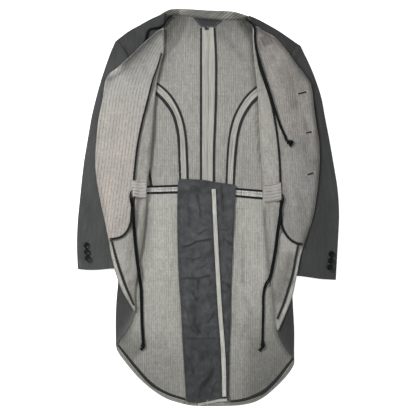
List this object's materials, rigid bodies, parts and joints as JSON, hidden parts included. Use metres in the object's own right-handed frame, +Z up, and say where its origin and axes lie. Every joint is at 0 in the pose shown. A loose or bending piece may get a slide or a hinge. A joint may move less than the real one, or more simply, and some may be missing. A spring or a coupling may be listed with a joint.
{
  "type": "tailored jacket",
  "caption": "Long unlined collarless jacket laid flat on its back, fronts turned out to show facings, bound seams, pleated tail, waist tabs and drawcords.",
  "frame": {"origin": "under the middle of the laid garment, on the surface it lies on", "axes": "+Z up from the surface, +Y towards the neck, +X towards the side with the buttonholes"},
  "size_m": [0.6555, 0.993, 0.0225],
  "materials": {
    "shell": "dark grey washed cotton, matt, fine weave, right side of the cloth",
    "inside": "pale grey finely striped cotton, matt, wrong side of the cloth",
    "facing": "pale warm grey striped and slubbed cotton, matt",
    "binding": "near-black bias tape, matt",
    "cord": "black braided cotton cord",
    "label": "black woven ribbon, bare",
    "button": "black, polished rim"
  },
  "bodies": {
    "root": {"back_centre_left": "inside", "back_centre_right": "inside", "back_side_left": "inside", "back_side_right": "inside", "back_skirt_left": "inside", "back_skirt_right": "inside", "binding_centre_left": "binding", "binding_centre_right": "binding", "binding_facing_left": "binding", "binding_facing_right": "binding", "binding_front_hem_left": "binding", "binding_front_hem_right": "binding", "binding_hem_left": "binding", "binding_hem_right": "binding", "binding_princess_left_inner": "binding", "binding_princess_left_outer": "binding", "binding_princess_right_inner": "binding", "binding_princess_right_outer": "binding", "binding_waist_left_lower": "binding", "binding_waist_left_upper": "binding", "binding_waist_right_lower": "binding", "binding_waist_right_upper": "binding", "cuff_button_left_1": "button", "cuff_button_left_2": "button", "cuff_button_left_3": "button", "cuff_button_right_1": "button", "cuff_button_right_2": "button", "cuff_button_right_3": "button", "facing_left": "facing", "facing_right": "facing", "front_button_1": "button", "front_button_2": "button", "front_button_3": "button", "front_left": "shell", "front_right": "shell", "knot_neck": "cord", "knot_waist_left": "cord", "knot_waist_right": "cord", "label": "label", "neck_casing": "facing", "neck_cord_left": "cord", "neck_cord_right": "cord", "pleat_edge": "facing", "pleat_hem": "facing", "pleat_left": "shell", "pleat_right": "shell", "size_tab": "label", "sleeve_under_left": "shell", "sleeve_under_right": "shell", "sleeve_upper_left": "shell", "sleeve_upper_right": "shell", "waist_cord_left": "cord", "waist_cord_right": "cord", "waist_tab_left": "facing", "waist_tab_right": "facing"}
  },
  "joints": []
}
